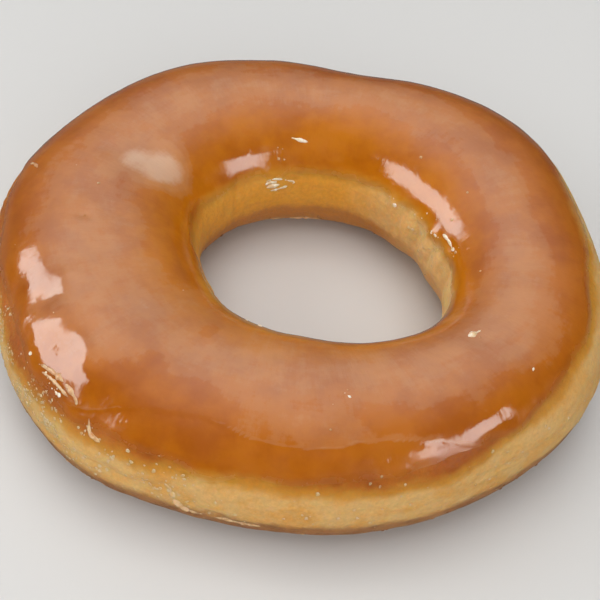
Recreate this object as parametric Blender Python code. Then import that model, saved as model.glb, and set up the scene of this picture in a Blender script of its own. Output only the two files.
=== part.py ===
"""Glazed ring doughnut: one soft ring of fried yeast dough, lying on its browned underside.

Metres, +Z up. The origin is the middle of the box round the ring, on the surface that it rests on.
The ring starts as a torus, and each of its points is then moved to where the dough's own outline,
section and unevenness put it. Angles round the ring run from +X towards +Y. Angles round the
section are 0 on the outer side, 90 on the crown, 180 in the hole and 270 underneath.
"""

import math

import bpy
from mathutils import Vector, noise

# Driving sizes
RING_DIAMETER = 0.0996
HOLE_DIAMETER = 0.0381
RING_HEIGHT = 0.0245
WIDEST_HEIGHT = 0.0098

# The hand-cut outline: how many lobes a wave has round the ring, its height, and where it peaks
RIM_WAVES = ((2, 0.0025, -1), (3, 0.0004, 11), (4, 0.0008, -43), (5, 0.0004, -27), (6, 0.0006, -13))
HOLE_WAVES = ((1, 0.0038, 20), (2, 0.0018, -21), (3, 0.0005, -22), (4, 0.0005, -30))
CROWN_WAVES = ((2, 0.0003, 20), (3, 0.0003, 75))

# The section: 2 is an ellipse, and more is squarer
CROWN_SQUARENESS = 2.27
UNDERSIDE_SQUARENESS = 2.35
BASE_SAG = 0.0006

# Soft lumps that the dough rose with
LUMP_SPACING = 0.016
LUMP_HEIGHT = 0.0005

# The band between the two fried crusts, which the oil never reached
BAND_TOP = 0.0165
BAND_BOTTOM = 0.0080
CREASE_DEPTH = 0.0004
CREASE_HALF_WIDTH = 0.0012

# Dents pressed into the ring: angle round the ring, angle round the section, radius, depth
DENTS = (
    (157, 98, 0.0060, 0.0009),
    (80, 45, 0.0080, 0.0006),
    (254, 30, 0.0070, 0.0004),
)

# Upright folds in the hole wall, where the cutter dragged the dough: angle round the ring, half
# width in degrees, height
FOLDS = (
    (43, 8, 0.0004),
    (30, 6, -0.0003),
    (19, 7, 0.0005),
    (4, 7, -0.0003),
    (141, 9, 0.0003),
    (262, 10, -0.0003),
)

# Mesh density
STEPS_ROUND_RING = 120
STEPS_ROUND_SECTION = 36


def clear_scene():
    for obj in list(bpy.data.objects):
        bpy.data.objects.remove(obj)


def waves(around, terms):
    """Sum of the cosine waves that make an outline uneven, at an angle in radians."""
    return sum(
        height * math.cos(lobes * (around - math.radians(peak)))
        for lobes, height, peak in terms
    )


def squared(value, squareness):
    """A cosine or sine, pushed outwards so that an ellipse turns into a fuller section."""
    return math.copysign(abs(value) ** (2 / squareness), value)


def turn_between(first, second):
    """The smaller angle between two directions, in radians."""
    return abs(math.remainder(first - second, math.tau))


def bell(distance, width):
    return math.exp(-((distance / width) ** 2))


def plain_point(around, about):
    """A point of the ring before its small unevenness."""
    rim = RING_DIAMETER / 2 + waves(around, RIM_WAVES)
    hole = HOLE_DIAMETER / 2 + waves(around, HOLE_WAVES)
    if math.sin(about) >= 0:
        squareness = CROWN_SQUARENESS
        reach = RING_HEIGHT + waves(around, CROWN_WAVES) - WIDEST_HEIGHT
    else:
        squareness = UNDERSIDE_SQUARENESS
        reach = WIDEST_HEIGHT + BASE_SAG
    radius = (rim + hole) / 2 + (rim - hole) / 2 * squared(math.cos(about), squareness)
    height = WIDEST_HEIGHT + reach * squared(math.sin(about), squareness)
    return Vector((radius * math.cos(around), radius * math.sin(around), height))


def lump(point):
    return LUMP_HEIGHT * noise.noise(point / LUMP_SPACING)


def crease(point):
    """The shallow fold where the pale band meets the lower crust."""
    return -CREASE_DEPTH * bell(point.z - BAND_BOTTOM, CREASE_HALF_WIDTH)


def dent(point):
    return -sum(
        depth * bell((point - plain_point(math.radians(around), math.radians(about))).length, radius)
        for around, about, radius, depth in DENTS
    )


def fold(around, about):
    """Upright folds, which fade out over the crown and underneath."""
    fade = max(0.0, -math.cos(about)) ** 2
    return fade * sum(
        height * bell(turn_between(around, math.radians(middle)), math.radians(half_width))
        for middle, half_width, height in FOLDS
    )


def dough_point(around, about):
    """A point of the finished ring, flat where it rests."""
    point = plain_point(around, about)
    swell = lump(point) + crease(point) + dent(point) + fold(around, about)
    outwards = Vector((
        math.cos(about) * math.cos(around),
        math.cos(about) * math.sin(around),
        math.sin(about),
    ))
    point += swell * outwards
    point.z = max(0.0, point.z)
    return point


def centre_on_origin(mesh):
    """Moves the ring sideways so that the middle of its box is over the origin."""
    for axis in (0, 1):
        places = [vertex.co[axis] for vertex in mesh.vertices]
        middle = (min(places) + max(places)) / 2
        for vertex in mesh.vertices:
            vertex.co[axis] -= middle


def surface_material(name, colour, roughness):
    material = bpy.data.materials.new(name)
    material.use_nodes = True
    shader = material.node_tree.nodes["Principled BSDF"]
    shader.inputs["Base Color"].default_value = (*colour, 1.0)
    shader.inputs["Roughness"].default_value = roughness
    shader.inputs["Metallic"].default_value = 0.0
    return material


def paint(mesh):
    """Glazed crust above, the pale band round the sides, and the lower crust."""
    mesh.materials.append(surface_material("glazed_crust", (0.52, 0.20, 0.045), 0.18))
    mesh.materials.append(surface_material("pale_band", (0.66, 0.41, 0.16), 0.45))
    mesh.materials.append(surface_material("lower_crust", (0.36, 0.17, 0.065), 0.50))
    for face in mesh.polygons:
        if face.center.z > BAND_TOP:
            face.material_index = 0
        elif face.center.z > BAND_BOTTOM:
            face.material_index = 1
        else:
            face.material_index = 2


def make_doughnut():
    section_radius = (RING_DIAMETER - HOLE_DIAMETER) / 4
    centre_radius = (RING_DIAMETER + HOLE_DIAMETER) / 4
    bpy.ops.mesh.primitive_torus_add(
        major_segments=STEPS_ROUND_RING,
        minor_segments=STEPS_ROUND_SECTION,
        major_radius=centre_radius,
        minor_radius=section_radius,
    )
    doughnut = bpy.context.object
    doughnut.name = "doughnut"
    mesh = doughnut.data
    for vertex in mesh.vertices:
        place = vertex.co
        around = math.atan2(place.y, place.x)
        about = math.atan2(place.z, math.hypot(place.x, place.y) - centre_radius)
        vertex.co = dough_point(around, about)
    centre_on_origin(mesh)
    paint(mesh)
    mesh.shade_smooth()
    return doughnut


def main():
    clear_scene()
    doughnut = make_doughnut()
    collection = bpy.data.collections.new("glazed_ring_doughnut")
    bpy.context.scene.collection.children.link(collection)
    for holder in list(doughnut.users_collection):
        holder.objects.unlink(doughnut)
    collection.objects.link(doughnut)


main()
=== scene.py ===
"""Glazed ring doughnut: its looks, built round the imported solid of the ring.

Metres, +Z up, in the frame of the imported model. Two angles place things on the ring, both given in
degrees. Around runs round the ring from +X towards +Y. About runs round the section: 0 is the outer
side, 90 the crown, 180 the wall of the hole and 270 the underside.
"""

import math

import bpy
import numpy as np
from mathutils import Matrix, Vector, noise
from mathutils.bvhtree import BVHTree


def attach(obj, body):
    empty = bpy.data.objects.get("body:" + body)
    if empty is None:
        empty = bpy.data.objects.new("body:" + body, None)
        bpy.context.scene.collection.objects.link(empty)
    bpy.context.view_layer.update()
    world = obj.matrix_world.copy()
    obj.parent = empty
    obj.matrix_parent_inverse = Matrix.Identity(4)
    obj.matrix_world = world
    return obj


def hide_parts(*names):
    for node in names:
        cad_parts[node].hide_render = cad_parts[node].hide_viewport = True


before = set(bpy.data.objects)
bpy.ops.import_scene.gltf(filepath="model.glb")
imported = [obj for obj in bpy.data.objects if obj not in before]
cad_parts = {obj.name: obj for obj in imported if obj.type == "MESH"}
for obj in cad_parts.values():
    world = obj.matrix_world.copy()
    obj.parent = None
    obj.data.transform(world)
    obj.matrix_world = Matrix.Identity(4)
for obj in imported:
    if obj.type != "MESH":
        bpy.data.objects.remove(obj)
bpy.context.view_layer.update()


# The ring of dough: one soft piece of yeast dough, cut, risen, and fried on both sides. Its skin is
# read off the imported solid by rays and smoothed. Then it gets the creases, pores and pleats that
# the solid is too coarse to hold.

STEPS_AROUND = 512
STEPS_ABOUT = 190
SECTION_MIDDLE_HEIGHT = 0.0115
SECTION_RADIUS = 0.0145
FACET_AROUND = math.radians(3)
FACET_ABOUT = math.radians(10)
FACET_BLUR = 0.55


def softened(grid, spread, axis):
    """A grid that closes on itself, blurred along one axis by a bell of that many steps."""
    waves = np.fft.fftfreq(grid.shape[axis]) * math.tau
    shape = [1] * grid.ndim
    shape[axis] = -1
    fade = np.exp(-0.5 * (waves * spread) ** 2).reshape(shape)
    return np.fft.ifft(np.fft.fft(grid, axis=axis) * fade, axis=axis).real


def skin_of(solid):
    """The solid's skin as a grid of points, by the angle around and the angle about."""
    tree = BVHTree.FromPolygons(
        [vertex.co for vertex in solid.data.vertices],
        [face.vertices for face in solid.data.polygons],
    )
    middles = np.empty((STEPS_AROUND, 3))
    reach = np.empty((STEPS_AROUND, STEPS_ABOUT))
    outwards = []
    for i in range(STEPS_AROUND):
        turn = math.tau * i / STEPS_AROUND
        outward = Vector((math.cos(turn), math.sin(turn), 0))
        centre = Vector((0, 0, SECTION_MIDDLE_HEIGHT))
        wall = tree.ray_cast(centre, outward)[0]
        rim = tree.ray_cast(centre + outward, -outward)[0]
        middle = (wall + rim) / 2
        for j in range(STEPS_ABOUT):
            tilt = math.tau * j / STEPS_ABOUT
            way = outward * math.cos(tilt) + Vector((0, 0, math.sin(tilt)))
            reach[i, j] = tree.ray_cast(middle, way)[3]
        middles[i] = middle
        outwards.append(outward)
    reach = softened(reach, FACET_BLUR * FACET_AROUND / math.tau * STEPS_AROUND, 0)
    reach = softened(reach, FACET_BLUR * FACET_ABOUT / math.tau * STEPS_ABOUT, 1)
    middles = softened(middles, FACET_BLUR * FACET_AROUND / math.tau * STEPS_AROUND, 0)
    tilts = math.tau * np.arange(STEPS_ABOUT) / STEPS_ABOUT
    skin = np.array(outwards)[:, None, :] * np.cos(tilts)[None, :, None]
    skin[:, :, 2] = np.sin(tilts)
    return middles[:, None, :] + skin * reach[:, :, None]


def outward_normals(grid):
    """Unit normals of a grid of points that closes on itself both ways."""
    along = np.roll(grid, -1, 0) - np.roll(grid, 1, 0)
    across = np.roll(grid, -1, 1) - np.roll(grid, 1, 1)
    normals = np.cross(along, across)
    return normals / np.linalg.norm(normals, axis=2, keepdims=True)


SEED_SHIFT = (7.31, 3.17, 5.73)


def rough(grid, size, seed):
    """Smooth noise from about -1 to 1 over a grid of points, with lumps of that size in metres."""
    shift = Vector([seed * step for step in SEED_SHIFT])
    flat = grid.reshape(-1, 3) / size
    return np.array([noise.noise(Vector(p) + shift) for p in flat]).reshape(grid.shape[:-1])


def rough_sum(grid, waves):
    """Several smooth noises added up. Each is given by its size in metres, its height and its seed."""
    return sum(wave_height * rough(grid, size, seed) for size, wave_height, seed in waves)


def smooth_step(value, low, high):
    share = np.clip((value - low) / (high - low), 0, 1)
    return share * share * (3 - 2 * share)


def bell(distance, width):
    return np.exp(-((distance / width) ** 2))


def angles_of(grid_shape):
    """The angle around and the angle about of each point of a skin grid, in degrees."""
    around = 360 * np.arange(grid_shape[0]) / grid_shape[0]
    about = 360 * np.arange(grid_shape[1]) / grid_shape[1]
    return np.broadcast_to(around[:, None], grid_shape), np.broadcast_to(about[None, :], grid_shape)


def sampled(grid, around, about):
    """Values of a skin grid at angles in degrees, between its points by straight lines."""
    columns, rows = grid.shape[:2]
    x, y = np.asarray(around) / 360 * columns, np.asarray(about) / 360 * rows
    i, j = np.floor(x).astype(int), np.floor(y).astype(int)
    u, v = x - i, y - j
    if grid.ndim == 3:
        u, v = u[..., None], v[..., None]
    i, j, next_i, next_j = i % columns, j % rows, (i + 1) % columns, (j + 1) % rows
    low = grid[i, j] * (1 - u) + grid[next_i, j] * u
    high = grid[i, next_j] * (1 - u) + grid[next_i, next_j] * u
    return low * (1 - v) + high * v


def turn_off(angles, middle):
    """How far angles in degrees are from a middle one, from -180 to 180."""
    return (angles - middle + 180) % 360 - 180


def faces_of_ring(columns, rows):
    """Quads of a grid that closes on itself both ways, facing out."""
    i, j = np.meshgrid(np.arange(columns), np.arange(rows), indexing="ij")
    next_i, next_j = (i + 1) % columns, (j + 1) % rows
    corners = [i * rows + j, next_i * rows + j, next_i * rows + next_j, i * rows + next_j]
    return np.stack(corners, axis=-1).reshape(-1, 4)


def new_piece(name, points, faces):
    """A smooth-shaded mesh object from arrays of points and quads."""
    mesh = bpy.data.meshes.new(name)
    mesh.from_pydata(points.reshape(-1, 3).tolist(), [], faces.tolist())
    mesh.shade_smooth()
    piece = bpy.data.objects.new(name, mesh)
    bpy.context.scene.collection.objects.link(piece)
    return piece


def give_value(piece, name, values):
    """Stores one number for each point of a piece, for its material or a scatter to read."""
    attribute = piece.data.attributes.new(name, "FLOAT", "POINT")
    attribute.data.foreach_set("value", values.astype(np.float32).ravel())


# Creases in the pale band: from where to where around, the angle about at each end, width, depth
CREASES = (
    (219, 234, -5, 0, 0.0005, 0.00035),
    (231, 252, 0, 3, 0.0006, 0.00042),
    (250, 262, 3, -16, 0.0005, 0.00035),
    (262, 300, 10, 4, 0.0004, 0.00016),
    (305, 345, 6, 9, 0.0005, 0.00022),
    (20, 60, 5, 8, 0.0005, 0.00025),
    (70, 110, 9, 4, 0.0004, 0.00022),
    (130, 185, 4, 9, 0.0005, 0.00028),
)
CREASE_END_SHARE = 0.2
CREASE_WANDER = 1.4
CREASE_BENDS = 9

# Upright pleats in the wall of the hole: around, from and to about, half width in degrees, height
PLEATS = (
    (47, 158, 176, 2.2, 0.00030),
    (41, 166, 190, 2.0, -0.00030),
    (35, 160, 186, 2.4, 0.00040),
    (29, 158, 192, 1.8, -0.00035),
    (23, 154, 184, 2.4, 0.00050),
    (17, 158, 190, 1.8, -0.00045),
    (11, 152, 184, 2.6, 0.00045),
    (3, 156, 190, 2.2, -0.00035),
    (-5, 156, 186, 2.8, 0.00025),
    (75, 164, 192, 2.4, -0.00018),
    (128, 160, 190, 2.6, -0.00022),
    (212, 160, 190, 3.0, -0.00022),
    (262, 160, 190, 3.0, 0.00022),
)
PLEAT_LEAD = 4
PLEAT_FADE = 6
PLEAT_SLANT = 0.12
PLEAT_MIDDLE = 172


def pleated(around, about):
    """How far the pleats raise each point."""
    raised = np.zeros(around.shape)
    for middle, start, end, half_width, pleat_height in PLEATS:
        inside = smooth_step(about, start - PLEAT_LEAD, start + PLEAT_FADE)
        inside = inside * (1 - smooth_step(about, end - PLEAT_FADE, end + PLEAT_FADE))
        slanted = middle + PLEAT_SLANT * (about - PLEAT_MIDDLE)
        raised += pleat_height * inside * bell(turn_off(around, slanted), half_width)
    return raised


def creased(around, about):
    """How deep the creases cut at each point."""
    depth_here = np.zeros(around.shape)
    for start, end, about_start, about_end, width, depth in CREASES:
        share = np.clip(((around - start) % 360) / (end - start), 0, 1)
        inside = smooth_step(share, 0, CREASE_END_SHARE) * (1 - smooth_step(share, 1 - CREASE_END_SHARE, 1))
        path = about_start + (about_end - about_start) * share + CREASE_WANDER * np.sin(share * CREASE_BENDS)
        away = np.radians(turn_off(about, path)) * SECTION_RADIUS
        depth_here += depth * inside * bell(away, width)
    return depth_here


# Low swellings and hollows of the dough: around, about, radius and height
SWELLINGS = (
    (224, 59, 0.0080, 0.0013),
    (221, 79, 0.0050, -0.00035),
    (190, 58, 0.0065, 0.0006),
    (200, 32, 0.0050, -0.0009),
    (206, 49, 0.0026, -0.0007),
    (219, 45, 0.0026, -0.0006),
    (233, 30, 0.0040, -0.0004),
    (227, 43, 0.0025, 0.00028),
    (222, 48, 0.0022, -0.00024),
    (203, 66, 0.0020, 0.00034),
    (313, 46, 0.0021, 0.0002),
    (318, 50, 0.0034, 0.0002),
    (301, 24, 0.0070, 0.0002),
    (301, 40, 0.0022, -0.00023),
    (308, 30, 0.0022, 0.00026),
    (312, 55, 0.0045, 0.00008),
    (303, 25, 0.0034, 0.00036),
    (55, 124, 0.0048, 0.00015),
    (40, 122, 0.0050, 0.00025),
    (36, 145, 0.0038, 0.00015),
    (21, 125, 0.0055, -0.0004),
    (5, 144, 0.0036, 0.0003),
)


def swollen(points, outward):
    """A skin with its swellings and hollows."""
    rise = np.zeros(points.shape[:2])
    for middle, tilt, radius, swelling_height in SWELLINGS:
        spot = sampled(points, float(middle), float(tilt))
        rise += swelling_height * bell(np.linalg.norm(points - spot, axis=2), radius)
    return points + outward * rise[:, :, None]


skin = skin_of(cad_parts["doughnut"])
skin = swollen(skin, outward_normals(skin))
normals = outward_normals(skin)
around, about = angles_of(skin.shape[:2])
height = skin[:, :, 2]

# Heights between which the pale band starts and ends, and the lower crust ends
BAND_START = (0.0072, 0.0098)
BAND_END = (0.0155, 0.0175)
BASE_END = (0.0080, 0.0100)

in_band = smooth_step(height, *BAND_START) * (1 - smooth_step(height, *BAND_END))
below = 1 - smooth_step(height, *BASE_END)

# The fine relief: crumb, wrinkles and pores. Crumb and wrinkles are wider than they are tall
CRUMB_SIZE = 0.0011
CRUMB_HEIGHT = 0.00007
CRUMB_ELSEWHERE = 0.35
WRINKLE_SIZE = 0.0032
WRINKLE_HEIGHT = 0.00016
WRINKLE_ELSEWHERE = 0.4
WRINKLE_IN_BAND = 0.6
WRINKLE_BELOW = 0.4
PORE_SIZE = 0.0019
PORE_DEPTH = 0.00016
PORE_IN_BAND = 0.5
PORE_EDGE = (0.30, 0.62)
STRETCH = (1, 1, 2.2)

flattened = skin * np.array(STRETCH)
wrinkle_share = WRINKLE_ELSEWHERE + WRINKLE_IN_BAND * in_band + WRINKLE_BELOW * below
pores = smooth_step(rough(skin, PORE_SIZE, 3), *PORE_EDGE)
relief = CRUMB_HEIGHT * rough(flattened, CRUMB_SIZE, 1) * (CRUMB_ELSEWHERE + in_band)
relief += WRINKLE_HEIGHT * rough(flattened, WRINKLE_SIZE, 2) * wrinkle_share
relief -= PORE_DEPTH * pores * (below + PORE_IN_BAND * in_band)
relief += pleated(around, about) - creased(around, about)

# Torn fibres down the wall of the hole, deepest at the right: their widths, and where they are
FIBRE_HEIGHT = 0.00019
FIBRE_RING_RADIUS = 0.02
FIBRE_STRETCH = 6
FIBRE_WIDTHS = (0.0009, 0.0019)
WIDE_FIBRE_SHARE = 0.8
WALL_START = (148, 162)
WALL_END = (190, 205)
FIBRE_MIDDLE = 22
FIBRE_HALF_WIDTH = 34
FIBRE_ELSEWHERE = 0.25

turn = np.radians(around)
fibre_place = np.stack([
    FIBRE_RING_RADIUS * np.cos(turn), FIBRE_RING_RADIUS * np.sin(turn),
    np.radians(about) * SECTION_RADIUS / FIBRE_STRETCH,
], axis=-1)
fibres = rough(fibre_place, FIBRE_WIDTHS[0], 4) + WIDE_FIBRE_SHARE * rough(fibre_place, FIBRE_WIDTHS[1], 5)
in_hole = smooth_step(about, *WALL_START) * (1 - smooth_step(about, *WALL_END))
torn_share = FIBRE_ELSEWHERE + bell(turn_off(around, FIBRE_MIDDLE), FIBRE_HALF_WIDTH)
relief += FIBRE_HEIGHT * fibres * in_hole * torn_share

dough_points = skin + normals * relief[:, :, None]
dough_points[:, :, 2] = np.maximum(dough_points[:, :, 2], 0)
dough = new_piece("dough_ring", dough_points, faces_of_ring(STEPS_AROUND, STEPS_ABOUT))


def new_group(name, inputs, outputs):
    """An empty shader node group. Inputs and outputs are pairs of name and socket kind."""
    group = bpy.data.node_groups.new(name, "ShaderNodeTree")
    for socket, kind in inputs:
        group.interface.new_socket(socket, in_out="INPUT", socket_type="NodeSocket" + kind)
    for socket, kind in outputs:
        group.interface.new_socket(socket, in_out="OUTPUT", socket_type="NodeSocket" + kind)
    return group, group.nodes.new("NodeGroupInput"), group.nodes.new("NodeGroupOutput")


def put(tree, kind, values=None, **settings):
    """A new node with settings and input values. A value that is a socket is linked."""
    node = tree.nodes.new(kind)
    for setting, value in settings.items():
        setattr(node, setting, value)
    for socket, value in (values or {}).items():
        if isinstance(value, bpy.types.NodeSocket):
            tree.links.new(value, node.inputs[socket])
        else:
            node.inputs[socket].default_value = value
    return node


def maths(tree, operation, *values):
    """The output of a Math node on values that are numbers or sockets."""
    return put(tree, "ShaderNodeMath", dict(enumerate(values)), operation=operation).outputs[0]


def eased(tree, value, low, high, out_low=0.0, out_high=1.0):
    """A smooth step from one output value to another between two input values."""
    node = put(
        tree, "ShaderNodeMapRange",
        {"Value": value, "From Min": low, "From Max": high, "To Min": out_low, "To Max": out_high},
        interpolation_type="SMOOTHSTEP",
    )
    return node.outputs["Result"]


def patches(tree, place, size, detail=3.0, roughness=0.55):
    """A noise of about 0 to 1 with patches of that size in metres."""
    values = {"Vector": place, "Scale": 1 / size, "Detail": detail, "Roughness": roughness}
    return put(tree, "ShaderNodeTexNoise", values).outputs["Fac"]


def waver(tree, place, size, detail, reach):
    """A noise of that size that goes as far below zero as above, over a reach in metres."""
    return maths(tree, "MULTIPLY", maths(tree, "SUBTRACT", patches(tree, place, size, detail), 0.5), reach)


def blended(tree, share, first, second, blend_type="MIX"):
    """A mix of two colours by a share."""
    node = put(tree, "ShaderNodeMix", data_type="RGBA", blend_type=blend_type)
    for socket, value in ((0, share), (6, first), (7, second)):
        if isinstance(value, bpy.types.NodeSocket):
            tree.links.new(value, node.inputs[socket])
        else:
            node.inputs[socket].default_value = value
    return node.outputs[2]


def object_place(tree):
    """Where each point is on its object."""
    return put(tree, "ShaderNodeTexCoord").outputs["Object"]


# How the line between crown and band wanders and frays: size of the patches, detail, height
WANDER = (0.009, 4.0, 0.0034)
FRAY = (0.0014, 3.0, 0.0012)

# How far that line is shifted, from where to where and from which height to which. The shift to the
# front is for the rim of the hole alone, so two steps say how near to the ring's axis counts as that
SHIFT_TO_RIGHT = (0.022, 0.052, 0.0, 0.0050)
SHIFT_TO_LEFT = (-0.008, -0.030, 0.0, -0.0010)
# The shift at the front lifts the pale band on the near rim of the hole: partly its own colour, partly
# painted light where the rim faces the light behind the ring
SHIFT_TO_FRONT = (0.004, -0.012, 0.0, 0.0034)
NEAR_HOLE = (0.0290, 0.0215)
BY_HOLE = (0.0320, 0.0240)

# How the crusts pass into each other, as heights from the two lines
GOLDEN_STEP = (-0.0020, -0.0002)
CROWN_STEP = (-0.0006, 0.0016)
BASE_STEP = (0.0006, -0.0018)

# Mottled crown, warmer places in the band, charred base: size, detail, roughness, and the step
MOTTLE = (0.0085, 6.0, 0.62)
MOTTLE_STEP = (0.36, 0.68)
WARMTH = (0.0050, 5.0, 0.65)
WARMTH_STEP = (0.38, 0.68)
CHAR = (0.0040, 6.0, 0.70)
CHAR_STEP = (0.42, 0.70)

# The wall of the hole: golden at its left, paler at its right, and lighter at its foot than outside. The
# paler right is partly its own cream colour and partly painted light that makes up for shade in the hole
GOLDEN_WALL_STEP = (0.016, 0.004, 0.0, 0.90)
PALE_AND_LIT_WALL_STEP = (0.012, 0.020, 0.0, 0.60)
WHITE = (1.0, 1.0, 1.0, 1.0)
GOLDEN_CROWN_TINT = (1.16, 1.30, 0.8, 1.0)
GOLDEN_WALL = (0.78, 0.365, 0.035, 1.0)
PALE_AND_LIT_WALL = (0.92, 0.61, 0.25, 1.0)
WALL_FOOT = (0.56, 0.235, 0.050, 1.0)
PALE_AND_LIT_WALL_FOOT = (0.90, 0.55, 0.22, 1.0)


def make_crust_colours():
    """The colours of the fried skin by height: browned crown, pale band and lower crust."""
    tree, given, made = new_group(
        "fried_crust_colours",
        (("Crown", "Color"), ("Crown Deep", "Color"), ("Golden", "Color"), ("Band", "Color"),
         ("Band Warm", "Color"), ("Base", "Color"), ("Base Dark", "Color"), ("Band Top", "Float"),
         ("Band Bottom", "Float")),
        (("Color", "Color"),),
    )
    place = object_place(tree)
    split = put(tree, "ShaderNodeSeparateXYZ", {0: place})
    to_right, to_back, height = split.outputs
    flat = put(tree, "ShaderNodeCombineXYZ", {0: to_right, 1: to_back}).outputs[0]
    from_axis = put(tree, "ShaderNodeVectorMath", {0: flat}, operation="LENGTH").outputs["Value"]
    by_hole = eased(tree, from_axis, *BY_HOLE)

    wander = waver(tree, place, *WANDER)
    fray = waver(tree, place, *FRAY)
    at_right = eased(tree, to_right, *SHIFT_TO_RIGHT)
    at_left = eased(tree, to_right, *SHIFT_TO_LEFT)
    at_front = eased(tree, to_back, *SHIFT_TO_FRONT)
    # Painted light, with the band's own colour: the near rim of the hole kept pale
    near_rim = maths(tree, "MULTIPLY", eased(tree, from_axis, *NEAR_HOLE), at_front)
    shift = maths(tree, "ADD", maths(tree, "ADD", at_right, at_left), near_rim)
    over_top = maths(tree, "SUBTRACT", height, maths(tree, "ADD", given.outputs["Band Top"], shift))
    over_top = maths(tree, "ADD", over_top, maths(tree, "ADD", wander, fray))
    golden_share = eased(tree, over_top, *GOLDEN_STEP)
    crown_share = eased(tree, over_top, *CROWN_STEP)
    over_bottom = maths(tree, "SUBTRACT", height, given.outputs["Band Bottom"])
    over_bottom = maths(tree, "ADD", over_bottom, maths(tree, "SUBTRACT", fray, wander))
    base_share = eased(tree, over_bottom, *BASE_STEP)

    mottle = eased(tree, patches(tree, place, *MOTTLE), *MOTTLE_STEP)
    crown = blended(tree, mottle, given.outputs["Crown"], given.outputs["Crown Deep"])
    crown = blended(tree, 1.0, crown, blended(tree, by_hole, WHITE, GOLDEN_CROWN_TINT), "MULTIPLY")
    warmth = eased(tree, patches(tree, place, *WARMTH), *WARMTH_STEP)
    band = blended(tree, warmth, given.outputs["Band"], given.outputs["Band Warm"])
    golden_wall = maths(tree, "MULTIPLY", by_hole, eased(tree, to_right, *GOLDEN_WALL_STEP))
    band = blended(tree, golden_wall, band, GOLDEN_WALL)
    # Painted light with the wall's own cream: the right of the hole's wall and its foot made paler
    pale_and_lit_wall = maths(tree, "MULTIPLY", by_hole, eased(tree, to_right, *PALE_AND_LIT_WALL_STEP))
    band = blended(tree, pale_and_lit_wall, band, PALE_AND_LIT_WALL)
    charred = eased(tree, patches(tree, place, *CHAR), *CHAR_STEP)
    base = blended(tree, charred, given.outputs["Base"], given.outputs["Base Dark"])
    base = blended(tree, by_hole, base, WALL_FOOT)
    base = blended(tree, pale_and_lit_wall, base, PALE_AND_LIT_WALL_FOOT)
    colour = blended(tree, golden_share, band, given.outputs["Golden"])
    colour = blended(tree, crown_share, colour, crown)
    colour = blended(tree, base_share, colour, base)
    tree.links.new(colour, made.inputs["Color"])
    return tree


crust_colours = make_crust_colours()
CRUST_VALUES = {
    "Crown": (0.480, 0.134, 0.0030, 1),
    "Crown Deep": (0.380, 0.092, 0.0030, 1),
    "Golden": (0.600, 0.265, 0.026, 1),
    "Band": (0.760, 0.470, 0.170, 1),
    "Band Warm": (0.740, 0.370, 0.085, 1),
    "Base": (0.430, 0.190, 0.062, 1),
    "Base Dark": (0.270, 0.105, 0.030, 1),
    "Band Top": 0.0166,
    "Band Bottom": 0.0092,
}


def new_material(name):
    """A material with its tree and its Principled shader."""
    material = bpy.data.materials.new(name)
    material.use_nodes = True
    return material, material.node_tree, material.node_tree.nodes["Principled BSDF"]


def set_values(shader, values):
    """Sets plain values on a shader's own sockets."""
    for socket, value in values.items():
        shader.inputs[socket].default_value = value


def crust_colour(tree):
    """The shared crust colours, placed in a material."""
    node = put(tree, "ShaderNodeGroup", node_tree=crust_colours)
    for socket, value in CRUST_VALUES.items():
        node.inputs[socket].default_value = value
    return node.outputs["Color"]


def give_bump(tree, shader, height, strength, distance):
    """Raises a shader's surface by a height that changes over it, as deep as the distance in metres."""
    bump = put(tree, "ShaderNodeBump", {"Strength": strength, "Distance": distance, "Height": height})
    tree.links.new(bump.outputs["Normal"], shader.inputs["Normal"])


DOUGH_GRAIN = (0.0007, 4.0, 0.7)
GRAIN_SHADE = (0.30, 0.72, 0.90, 1.06)
GRAIN_ROUGHNESS = (0.3, 0.7, 0.42, 0.62)
FINE_PORES_PER_METRE = 900.0
FINE_PORE_EDGE = (0.10, 0.45)
FINE_PORE_SHARE = 0.35
DOUGH_BUMP = (0.45, 0.00022)
DOUGH_VALUES = {
    "IOR": 1.45,
    "Subsurface Weight": 0.6,
    "Subsurface Radius": (1.0, 0.42, 0.16),
    "Subsurface Scale": 0.0020,
}


def make_fried_dough():
    """Fried yeast dough: soft and a little translucent, with fine pores, dull but not dry."""
    material, tree, shader = new_material("fried_dough")
    crust = crust_colour(tree)
    place = object_place(tree)
    grain = patches(tree, place, *DOUGH_GRAIN)
    pores = put(tree, "ShaderNodeTexVoronoi",
                {"Vector": place, "Scale": FINE_PORES_PER_METRE, "Randomness": 1.0})
    pits = eased(tree, pores.outputs["Distance"], *FINE_PORE_EDGE)
    speck = eased(tree, grain, *GRAIN_SHADE)
    dark = put(tree, "ShaderNodeCombineColor", {0: speck, 1: speck, 2: speck}).outputs[0]
    tree.links.new(blended(tree, 1.0, crust, dark, "MULTIPLY"), shader.inputs["Base Color"])
    tree.links.new(eased(tree, grain, *GRAIN_ROUGHNESS), shader.inputs["Roughness"])
    height = maths(tree, "ADD", grain, maths(tree, "MULTIPLY", pits, FINE_PORE_SHARE))
    give_bump(tree, shader, height, *DOUGH_BUMP)
    set_values(shader, DOUGH_VALUES)
    return material


dough.data.materials.append(make_fried_dough())
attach(dough, "root")
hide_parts("doughnut")


# The glaze: sugar icing poured on warm, which ran down over the crown as a clear, glossy coat a quarter
# of a millimetre thick. It ends in a rounded, uneven edge on the pale band and has set a little
# cloudy on the crown. Its cloudy colour is partly that milky set and partly painted sheen, the pale
# reflection of the bright room behind the ring.

GLAZE_THICKNESS = 0.00024
GLAZE_COLUMNS = 640
GLAZE_ROWS = 120
GLAZE_HIDDEN_ROWS = 16
GLAZE_HIDDEN_DEPTH = 0.0006
EDGE_WIDTH = 0.0024
EDGE_SINK = 0.00005
EDGE_ROW_SHARE = 0.16
EDGE_ROW_EASE = 1.15

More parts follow.
